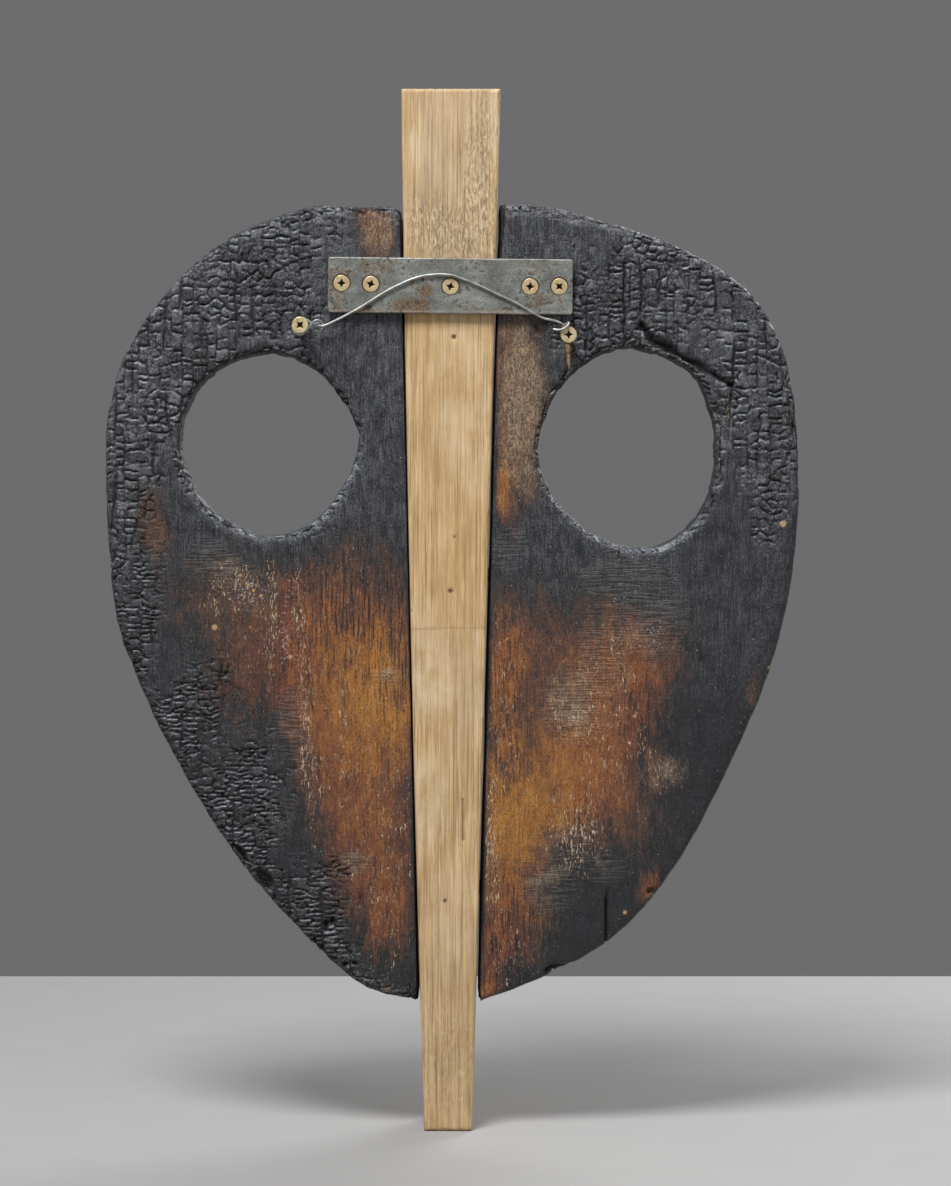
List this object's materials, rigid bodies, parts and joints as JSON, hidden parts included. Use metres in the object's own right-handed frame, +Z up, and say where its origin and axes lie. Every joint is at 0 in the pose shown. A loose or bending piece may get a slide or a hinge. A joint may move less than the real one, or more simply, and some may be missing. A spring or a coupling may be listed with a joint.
{
  "type": "carved wooden mask",
  "caption": "Wooden wall mask of charred planks with round eye holes either side of a bare tapered nose spine, tied by a steel plate and hung on a wire.",
  "frame": {"origin": "middle of the spine's foot face", "axes": "+Z up the spine to its crown, +Y the way the face looks, so the back with its plate and wire looks along -Y, and +X to the right as seen from behind"},
  "size_m": [0.3764, 0.0523, 0.563],
  "materials": {
    "charred_wood": "burnt black, blocky where deeply charred, brown where scorched",
    "bare_softwood": "bare, weathered, sanded",
    "scaled_steel": "grey mill scale with light brown rust",
    "yellow_zinc": "yellow zinc plate",
    "dull_wire": "dull drawn wire",
    "dowel_wood": "bare turned dowel"
  },
  "bodies": {
    "mask": {"nose_spine": "bare_softwood", "left_plank": "charred_wood", "right_plank": "charred_wood", "mending_plate": "scaled_steel", "plate_screw_1": "yellow_zinc", "plate_screw_2": "yellow_zinc", "plate_screw_3": "yellow_zinc", "plate_screw_4": "yellow_zinc", "plate_screw_5": "yellow_zinc", "left_hanger_screw": "yellow_zinc", "right_hanger_screw": "yellow_zinc", "left_dowel_lower": "dowel_wood", "left_dowel_upper": "dowel_wood", "right_dowel_lower": "dowel_wood", "right_dowel_upper": "dowel_wood"},
    "wire": {"hanging_wire": "dull_wire"}
  },
  "joints": [
    {"name": "wire_lift", "type": "hinge", "parent": "mask", "child": "wire", "pos_m": [-0.0794, -0.028, 0.4349], "axis": [0.9994, 0, -0.036], "range_deg": [0, 12]}
  ]
}
